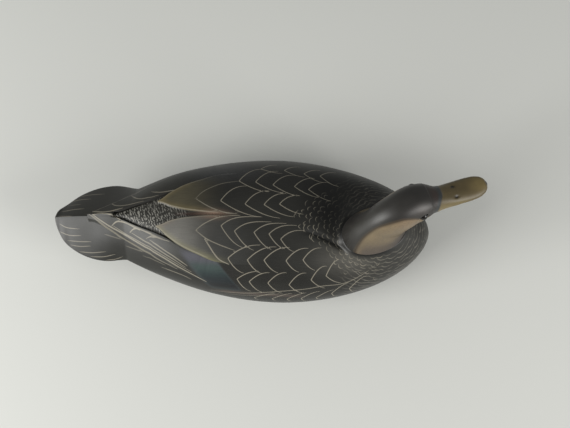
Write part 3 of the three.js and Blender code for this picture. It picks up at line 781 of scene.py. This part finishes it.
def painted_body_material():
    """Satin artists' oil paint brushed thin over sealed cedar.

    To the eye: low sheen, fine streaks along the feathers where the bristles ran, and pale
    feather edges drawn with a liner brush."""
    material, tree = start_material("satin_oil_paint_on_cedar")
    flow = attribute(tree, "flow").outputs["Vector"]
    along, across, shade = parts_of(tree, flow)
    ground = attribute(tree, "ground").outputs["Color"]
    zone = parts_of(tree, attribute(tree, "zone").outputs["Vector"])
    # Bristle streaks: 14 mm long and 0.9 mm wide
    streak = stretched_noise(tree, flow, (1 / 14, 1 / 0.9, 0), 5.0, 0.65)
    cloud = stretched_noise(tree, flow, (1 / 30, 1 / 22, 0), 3.0, 0.5)
    speck = stretched_noise(tree, flow, (1 / 1.2, 1 / 0.8, 0), 2.0, 0.7)
    tone = maths(tree, "MULTIPLY_ADD", streak, 0.7, 0.65)
    tone = maths(tree, "MULTIPLY", tone, maths(tree, "MULTIPLY_ADD", cloud, 0.6, 0.7))
    tone = maths(tree, "MULTIPLY", tone, maths(tree, "MULTIPLY_ADD", speck, 0.3, 0.85))
    brushed = node(tree, "ShaderNodeVectorMath", {"operation": "SCALE"}, _0=ground, Scale=tone).outputs[0]
    dry = band(tree, streak, 0.56, 0.8)
    brushed = mix_colour(tree, maths(tree, "MULTIPLY", dry, 0.3), brushed, "#45433d")
    # Rump: slanting dabs about 4 mm long and 1.2 mm wide, in wavering files 2.9 mm apart
    slant = node(tree, "ShaderNodeCombineXYZ", {},
                 X=maths(tree, "MULTIPLY_ADD", across, 0.3, along), Y=across).outputs[0]
    drift = stretched_noise(tree, slant, (1 / 5, 1 / 4.5, 0), 2.0)
    file_at = maths(tree, "FRACT", maths(tree, "ADD", maths(tree, "MULTIPLY", parts_of(tree, slant)[0], 1 / 2.9),
                                         maths(tree, "MULTIPLY", drift, 2.6)))
    dab = band(tree, maths(tree, "ABSOLUTE", maths(tree, "SUBTRACT", file_at, 0.5)), 0.12, 0.3, 1.0, 0.0)
    gaps = band(tree, stretched_noise(tree, slant, (1 / 2.6, 1 / 3.2, 0), 1.0), 0.4, 0.52)
    dab = maths(tree, "MULTIPLY", maths(tree, "MULTIPLY", dab, gaps), zone[0])
    colour = mix_colour(tree, maths(tree, "MULTIPLY", dab, 0.9), brushed, "#9a9890")
    # Breast: scalloped lines 5 mm apart, each scallop 9 mm across
    ruff, round_neck, ruff_shown = parts_of(tree, attribute(tree, "ruff").outputs["Vector"])
    row = maths(tree, "FLOOR", ruff)
    chance = node(tree, "ShaderNodeTexWhiteNoise", {"noise_dimensions": "1D"}, W=row).outputs["Value"]
    wave_at = maths(tree, "ADD", round_neck, maths(tree, "MULTIPLY", chance, 3.0))
    wander = maths(tree, "MULTIPLY_ADD", stretched_noise(tree, flow, (1 / 9, 1 / 9, 0), 2.0), 0.9, -0.45)
    scallop = maths(tree, "ABSOLUTE", maths(tree, "SINE", maths(tree, "ADD", wave_at, wander)))
    place = maths(tree, "ADD", maths(tree, "FRACT", ruff), maths(tree, "MULTIPLY_ADD", scallop, -0.42, -0.3))
    ruffle = band(tree, maths(tree, "ABSOLUTE", place), 0.06, 0.16, 1.0, 0.0)
    broken = band(tree, stretched_noise(tree, flow, (1 / 7, 1 / 5, 0), 2.0), 0.32, 0.55)
    ruffle = maths(tree, "MULTIPLY", ruffle, maths(tree, "MULTIPLY", broken, ruff_shown))
    colour = mix_colour(tree, ruffle, colour, "#6f6b62")
    # Pale feather edges
    wobble = maths(tree, "MULTIPLY_ADD", speck, 0.8, -0.4)
    first, signed, close = stroke_mask(tree, "pale_line", wobble)
    second, _, _ = stroke_mask(tree, "pale_line_b", wobble)
    # Dark line beside the pale strokes of the tail and wings: dark paint, and partly painted shadow that makes the
    # quills look raised.
    beside = maths(tree, "MULTIPLY", band(tree, signed, 1.2, 2.0), band(tree, signed, 2.6, 4.2, 1.0, 0.0))
    beside = maths(tree, "MULTIPLY", maths(tree, "MULTIPLY", beside, zone[1]), close)
    colour = mix_colour(tree, maths(tree, "MULTIPLY", beside, 0.7), colour, "#0b0a09")
    colour = mix_colour(tree, second, colour, "#8b8577")
    colour = mix_colour(tree, first, colour, "#8b8577")
    height = maths(tree, "ADD", maths(tree, "MULTIPLY", streak, 0.5), maths(tree, "MULTIPLY", first, 0.6))
    bump = node(tree, "ShaderNodeBump", {"Strength": 0.5, "Distance": 0.00012}, Height=height).outputs[0]
    gloss = maths(tree, "MULTIPLY_ADD", cloud, 0.16, 0.36)
    finish_material(tree, {"IOR": 1.47, "Specular IOR Level": 0.5}, Base_Color=colour, Roughness=gloss, Normal=bump)
    return material


def painted_head_material():
    """The same oil paint on the head block, smoother, with fine streaks and mottling over the cheeks."""
    material, tree = start_material("satin_oil_paint_on_head")
    flow = attribute(tree, "flow").outputs["Vector"]
    ground = attribute(tree, "ground").outputs["Color"]
    zone = parts_of(tree, attribute(tree, "zone").outputs["Vector"])
    streak = stretched_noise(tree, flow, (1 / 7, 1 / 0.9, 0), 5.0, 0.65)
    cloud = stretched_noise(tree, flow, (1 / 14, 1 / 9, 0), 3.0, 0.5)
    tone = maths(tree, "MULTIPLY", maths(tree, "MULTIPLY_ADD", streak, 0.45, 0.78),
                 maths(tree, "MULTIPLY_ADD", cloud, 0.5, 0.75))
    colour = node(tree, "ShaderNodeVectorMath", {"operation": "SCALE"}, _0=ground, Scale=tone).outputs[0]
    fleck = band(tree, stretched_noise(tree, flow, (1 / 3.2, 1 / 0.7, 0), 3.0), 0.52, 0.68)
    colour = mix_colour(tree, maths(tree, "MULTIPLY", fleck, maths(tree, "MULTIPLY", zone[0], 0.4)), colour, "#3a2f27")
    height = maths(tree, "MULTIPLY", streak, 0.5)
    bump = node(tree, "ShaderNodeBump", {"Strength": 0.4, "Distance": 0.0001}, Height=height).outputs[0]
    gloss = maths(tree, "MULTIPLY_ADD", cloud, 0.12, 0.36)
    finish_material(tree, {"IOR": 1.47}, Base_Color=colour, Roughness=gloss, Normal=bump)
    return material


def eye_material():
    """Taxidermy glass eye: black pupil, thin dark brown iris, polished."""
    material, tree = start_material("polished_eye_glass")
    iris = attribute(tree, "iris").outputs["Vector"]
    open_at = parts_of(tree, iris)[0]
    ring = maths(tree, "MULTIPLY", band(tree, open_at, 0.55, 0.62), band(tree, open_at, 0.85, 0.95, 1.0, 0.0))
    fleck = stretched_noise(tree, iris, (3, 40, 40), 2.0)
    colour = mix_colour(tree, maths(tree, "MULTIPLY", ring, fleck), "#020201", "#170d07")
    finish_material(tree, {"Roughness": 0.16, "IOR": 1.45}, Base_Color=colour)
    return material


def floor_material():
    """Matt grey studio paper, with a faint fibre mottle."""
    material, tree = start_material("matt_backdrop_paper")
    place = node(tree, "ShaderNodeTexCoord").outputs["Object"]
    fibre = node(tree, "ShaderNodeTexNoise", {"Scale": 900.0, "Detail": 3.0}, Vector=place).outputs[0]
    colour = mix_colour(tree, maths(tree, "MULTIPLY", fibre, 0.25), "#d8d9d5", "#cecfcb")
    finish_material(tree, {"Roughness": 0.75, "IOR": 1.4}, Base_Color=colour)
    return material


# Pieces

def build_body():
    """Body block with its paint."""
    points, way, field, rings, around = body_surface()
    x, y, z = points.T
    where = np.column_stack([x, way])
    first = lay_strokes(where, back_strokes(0) + small_marks(0) + wing_strokes(RIGHT_WING + LEFT_WING)
                        + tail_strokes() + tertial_strokes())
    second = lay_strokes(where, back_strokes(1) + small_marks(1) + wing_strokes(RIGHT_WING_TWINS + LEFT_WING_TWINS))
    on_wing = within(x, -206, -80, 20) * (field > 1)
    outer = arc_length(x, np.clip(primary_outer_edge(x), 0, half_breadth(x, 1)))
    across = way - np.sign(way) * outer * on_wing
    ground = paint_body(points, way, field)
    clear_of_wall = ease(primary_inner_edge(x) - np.abs(y), 1.2, 2.4)
    rump = (field == 0) | ((field == 1) & (x < TERTIAL_TIP)) | ((field == 2) & (x < -116))
    rump = within(x, -176, -100, 12) * rump * clear_of_wall
    rump = rump * (0.45 + 0.55 * ease(-y - 0.35 * (x + 140), -14, 12))
    # Where the dark lines beside the pale strokes go, partly painted shadow: the tail and the wings, mostly on the
    # right.
    beside = within(x, -240, -60, 8) * ((field > 2) & (y < 14))
    seat, turn = around_seat(x, y)
    from_neck = np.hypot(np.hypot(x - 100, y + 7), z - 100)
    shown = ease(x, 50, 84) * (0.3 + 0.5 * ease(-y, 0, 30)) * (field < 5)
    shown = np.maximum(shown, ease(x, 92, 118) * 0.6) * ease(seat, 1, 6)
    ruff = np.column_stack([from_neck / 4.3, turn * (30 + np.maximum(seat, 0)) / 5.4, shown])
    colours = {"ground": np.column_stack([ground, np.ones(len(x))])}
    vectors = {
        "pale_line": first, "pale_line_b": second, "ruff": ruff,
        "flow": np.column_stack([x, across, 0 * x]),
        "zone": np.column_stack([rump, beside, 0 * x]),
    }
    return add_mesh("carved_body", points, ring_faces(rings, around), painted_body_material(), vectors, colours)


# Head surface: lines over the fan's angle in degrees, and over the way along the bill

neck_back = soft_line((0, 84), (14, 79), (30, 75), (46, 74), (60, 72), (74, 67), (90, 59.5))
neck_front = soft_line((0, 17), (15, 13.5), (30, 12), (50, 13), (70, 16), (90, 23))
head_half_width = soft_line((0, 24), (12, 20.5), (28, 18.2), (46, 19.4), (62, 20.4), (76, 20), (90, 18))
jaw_taper = soft_line((0, 0), (40, 0.1), (70, 0.3), (90, 0.38))
bill_top = soft_line((42, 159.5), (50, 155.5), (58, 151.5), (70, 146.5), (84, 142.7), (97, 141), (104, 139.5),
                     (BILL_TIP, 136))
bill_bottom = soft_line((42, 123), (50, 126.5), (58, 129.5), (70, 130.5), (84, 131), (97, 131.5), (104, 132.5),
                        (BILL_TIP, 134.5))
bill_half_width = soft_line((42, 18), (48, 15), (54, 12.3), (60, 11.8), (70, 12.1), (84, 12.2), (94, 11.6),
                            (101, 9.4), (105.5, 5.6), (BILL_TIP, 0.8))
head_bow = soft_line((-45, 0), (0, 0), (30, 2.2), (42, 2.2), (52, 0.7), (60, 0.2), (BILL_TIP, 0))


def section_at(turn, outer, inner, width, taper):
    """Across the head: how far out and how wide, at each turn from the crown (0) to the chin (pi)."""
    out = (outer + inner) / 2 + (outer - inner) / 2 * signed_power(np.cos(turn), 0.95)
    narrow = 1 - taper * (0.5 - 0.5 * np.cos(turn)) ** 1.6
    return out, width * signed_power(np.sin(turn), 0.88) * narrow


HEAD_AROUND = 192
FAN_RINGS = 120
BILL_RINGS = 110


def head_surface():
    """Rings fanned about a line before the throat from the seat to the upright, then stepped along the bill."""
    turn = np.linspace(0, 2 * np.pi, HEAD_AROUND, endpoint=False)[None]
    degrees = np.linspace(-1.5, 90, FAN_RINGS)[:, None]
    out, wide = section_at(turn, neck_back(degrees), neck_front(degrees), head_half_width(degrees), jaw_taper(degrees))
    angle = np.radians(degrees)
    fan = np.stack([FAN_PIVOT - out * np.cos(angle), wide, SEAT_HEIGHT + 0.3 + out * np.sin(angle)], -1)
    t = np.linspace(0, 1, BILL_RINGS + 1)[1:, None]
    x = FAN_PIVOT + (BILL_TIP - FAN_PIVOT) * np.sin(np.pi / 2 * t) ** 1.25
    taper = jaw_taper(90) * (1 - ease(x, FAN_PIVOT, 56))
    out, wide = section_at(turn, bill_top(x), bill_bottom(x), bill_half_width(x), taper)
    bill = np.stack([x + 0 * out, wide, out], -1)
    rings = np.concatenate([fan, bill])
    station = np.concatenate([degrees + 0 * turn, 90 + (x - FAN_PIVOT) + 0 * turn])
    return rings, station, turn + 0 * station


def carve_head(rings, station, turn):
    """Low relief of the head: nostrils, the line between the mandibles, the nail, and the eye sockets."""
    x, y, z = (rings[..., i] for i in range(3))
    bill = ease(x, 50, 58) * (station > 90)
    nostril = np.exp(-((x - 70.7) / 2.4) ** 2 - ((np.abs(y) - 5.6) / 1.4) ** 2) * (z > 139) * bill
    gape = 131 + 4.6 + 0.035 * (x - 50)
    mandible = bell(z, gape, 0.8) * ease(x, 44, 54) * (1 - ease(x, 104, 107)) * (station > 90)
    y = y - np.sign(y) * 0.7 * mandible
    z = z - 1.1 * nostril
    nail = bell(x, 103, 4.0) * bell(y, 0, 4.2) * (turn < 1.2) + bell(x, 103, 4.0) * bell(y, 0, 4.2) * (turn > 5.1)
    z = z + 0.35 * nail
    for side in (1, -1):
        distance = np.sqrt((x - EYE_X) ** 2 + ((y - side * (EYE_Y + 3.5)) * 0.8) ** 2 + (z - EYE_Z) ** 2)
        y = y - side * 2.6 * np.exp(-(distance / 5.6) ** 4) * (np.sign(y) == side)
        y = y + side * 0.3 * np.exp(-((distance - 7.6) / 1.6) ** 2) * (np.sign(y) == side)
    return np.stack([x, y, z], -1)


def paint_head(x, y, z, station, turn):
    """Ground colours of the head: tan cheeks, dark crown and nape, olive bill with a dark nail; painted highlights on
    the brow, crown and bill, and painted shade on the top of the bill.
    """
    left = np.sin(turn) > 0
    turned = np.minimum(turn, 2 * np.pi - turn)
    ground = np.tile(linear("#74664f"), (len(x), 1))
    right_edge = soft_line((-2, 0.62), (12, 0.52), (25, 0.42), (37, 0.39), (50, 0.5), (60, 0.62), (69, 0.9),
                           (78, 1.32), (90, 1.5), (100, 1.6))(station)
    left_edge = soft_line((-2, 1.25), (15, 1.1), (30, 0.95), (45, 0.85), (60, 0.85), (75, 1.2), (90, 1.5))(station)
    cap_edge = np.where(left, left_edge, right_edge)
    ground = glaze(ground, "#8a745c", bell(station, 62, 14) * (~left) * 0.5)
    front = ease(turned, 1.5, 2.2) * (1 - ease(station, 18, 40))
    ground = glaze(ground, "#3b3733", front * 0.95)
    seam = (1 - ease(station, 1, 26)) * ease(turned, 0.5, 1.0) * (~left)
    ground = glaze(ground, "#4a423e", seam * 0.85)
    ground = glaze(ground, "#4c4636", left * (1 - ease(station, 4, 30)) * 0.7)
    throat = ease(turned, 2.0, 2.7)
    ground = glaze(ground, "#574d40", throat * 0.6)
    edge = bell(turned, cap_edge + 0.02, 0.09) * (station < 98)
    ground = glaze(ground, "#1f1612", edge * 0.8)
    cap = (1 - ease(turned, cap_edge - 0.08, cap_edge + 0.04)) * (station < 104)
    ground = glaze(ground, "#2a2826", cap)
    # Painted highlight on the right brow, over the eye.
    ground = glaze(ground, "#57524f", cap * bell(station, 80, 9) * bell(turned, 0.62, 0.28) * (~left) * 0.8)
    # Painted sheen: a lighter glaze along the top of the crown and nape.
    ground = glaze(ground, "#383733", cap * bell(station, 30, 26) * bell(turned, 0.0, 0.5) * 0.7)
    ground = glaze(ground, "#3a2b26", cap * bell(station, 96, 4) * bell(turned, 0, 0.8) * 0.5)
    base = 55.5 + 1.5 * np.cos(turn) + np.where(left, 1.5, 7.5) * np.sin(turn)
    bill = ease(x, base - 0.8, base + 0.8) * (station > 90)
    band_at = within(x, base - 4.5, base, 2) * (station > 90)
    ground = glaze(ground, "#2b3032", band_at * 0.85)
    ground = glaze(ground, "#5c5034", bill)
    # Painted shade on the top of the bill, darker on the left; painted highlights near the tip and on the lower right
    # of the bill.
    dark = bell(turned, 0, 0.75) * (1 - ease(x, 72, 100)) * np.where(left, 1.0, 0.8)
    ground = glaze(ground, "#2e2617", bill * dark * 0.35)
    ground = glaze(ground, "#7a6b43", bill * ease(x, 84, 100) * bell(turned, 0.2, 0.9) * 0.45)
    ground = glaze(ground, "#7f7047", bill * (~left) * ease(turned, 0.5, 1.3) * (1 - ease(x, 70, 96)) * 0.7)
    nostril = np.exp(-((x - 70.7) / 2.2) ** 2 - ((np.abs(y) - 5.6) / 1.5) ** 2) * (z > 139)
    ground = glaze(ground, "#0d0905", bill * nostril)
    nail = bell(x, 107, 1.9) * bell(y, 1, 5)
    return glaze(ground, "#0a0907", nail * (station > 90) * 1.3)


def build_head():
    """Head block with its paint."""
    rings, station, turn = head_surface()
    rings = carve_head(rings, station, turn)
    x, y, z = (rings[..., i].ravel() for i in range(3))
    count = rings.shape[0]
    ends = np.array([rings[0].mean(0), rings[-1].mean(0)])
    station, turn = station.ravel(), turn.ravel()
    ground = paint_head(x, y, z, station, turn)
    ground = np.vstack([ground, ground[[0, -1]]])
    all_points = np.vstack([np.stack([x, y, z], -1), ends])
    px, py = head_to_body(all_points[:, 0], all_points[:, 1] + head_bow(all_points[:, 0]))
    turned = np.minimum(turn, 2 * np.pi - turn)
    flow = np.column_stack([station * 1.15, turned * 19, 0 * turn])
    cheek = ease(turned, 0.5, 0.9) * (station < 96)
    zone = np.column_stack([cheek, 0 * turn, 0 * turn])
    vectors = {"flow": np.vstack([flow, flow[[0, -1]]]), "zone": np.vstack([zone, zone[[0, -1]]])}
    colours = {"ground": np.column_stack([ground, np.ones(len(ground))])}
    points = np.column_stack([px, py, all_points[:, 2]])
    return add_mesh("carved_head", points, ring_faces(count, HEAD_AROUND), painted_head_material(), vectors, colours)


def build_eye(name, side, material):
    """Glass eye: a ball whose front bulges by a tenth within the iris."""
    around, rings = 48, 30
    polar = np.linspace(0, np.pi, rings + 2)[1:-1][:, None]
    turn = np.linspace(0, 2 * np.pi, around, endpoint=False)[None]
    radius = EYE_RADIUS * (1 + 0.02 * np.exp(-(polar / 0.6) ** 2))
    local = np.stack([radius * np.sin(polar) * np.cos(turn), side * radius * np.cos(polar) + 0 * turn,
                      -side * radius * np.sin(polar) * np.sin(turn)], -1)
    local = np.vstack([local.reshape(-1, 3), [[0, side * EYE_RADIUS * 1.02, 0], [0, -side * EYE_RADIUS, 0]]])
    x, y = head_to_body(EYE_X + local[:, 0], side * EYE_Y + head_bow(EYE_X) + local[:, 1])
    points = np.column_stack([x, y, EYE_Z + local[:, 2]])
    openness = np.append((polar + 0 * turn).ravel(), [0, np.pi])
    iris = np.column_stack([openness, points[:, 0] * 0.1, points[:, 2] * 0.1])
    return add_mesh(name, points, ring_faces(rings, around), material, {"iris": iris})


def build_floor():
    """Wide level sheet of paper."""
    size = 4000.0
    corners = np.array([[-size, -size, 0], [size, -size, 0], [size, size, 0], [-size, size, 0]])
    return add_mesh("paper_floor", corners, [(0, 1, 2, 3)], floor_material())


def aim(obj, place, target):
    """Turns a light so that it shines from its place to the target."""
    obj.location = Vector(place)
    obj.rotation_euler = (Vector(target) - Vector(place)).to_track_quat("-Z", "Y").to_euler()


def add_light(name, place, target, size, power, colour):
    light = bpy.data.lights.new(name, "AREA")
    light.shape = "RECTANGLE"
    light.size, light.size_y = size
    light.energy = power
    light.color = colour
    obj = bpy.data.objects.new(name, light)
    bpy.context.scene.collection.objects.link(obj)
    aim(obj, place, target)
    return obj


def build_camera():
    """Camera at the photograph's angle: 73.5 degrees up, turned 1.9 degrees, 0.9 m from a point of the back."""
    elevation, azimuth, distance = math.radians(73.5), math.radians(1.9), 0.9
    back = Vector((math.sin(azimuth) * math.cos(elevation), -math.cos(azimuth) * math.cos(elevation),
                   math.sin(elevation)))
    right = Vector((math.cos(azimuth), math.sin(azimuth), 0))
    up = back.cross(right)
    camera = bpy.data.cameras.new("camera")
    camera.sensor_width = 36
    camera.lens = 52.17
    obj = bpy.data.objects.new("camera", camera)
    bpy.context.scene.collection.objects.link(obj)
    place = Vector((0, 0.019, 0.05)) + back * distance
    obj.matrix_world = Matrix(((right.x, up.x, back.x, place.x), (right.y, up.y, back.y, place.y),
                               (right.z, up.z, back.z, place.z), (0, 0, 0, 1)))
    bpy.context.scene.camera = obj


def build_light():
    """Soft studio light: two wide windows in front, left stronger than right, and a pale room."""
    add_light("window_left", (-1.35, -0.68, 0.78), (0, 0, 0.05), (1.0, 0.9), 27, (1.0, 0.995, 0.975))
    add_light("window_right", (1.35, -0.72, 0.78), (0, 0, 0.05), (0.8, 0.9), 16, (1.0, 0.985, 0.965))
    world = bpy.data.worlds.new("pale_room")
    bpy.context.scene.world = world
    world.use_nodes = True
    world.node_tree.nodes["Background"].inputs[0].default_value = (0.52, 0.53, 0.52, 1)
    world.node_tree.nodes["Background"].inputs[1].default_value = 0.55
    bpy.context.scene.view_settings.view_transform = "Standard"


build_camera()
build_light()
build_floor()

body = build_body()
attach(body, "root")
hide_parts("body")

head = build_head()
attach(head, "root")
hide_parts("head")

glass = eye_material()
for eye_name, eye_side in (("left", 1), ("right", -1)):
    eye = build_eye("glass_eye_" + eye_name, eye_side, glass)
    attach(eye, "root")
    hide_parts("eye_" + eye_name)
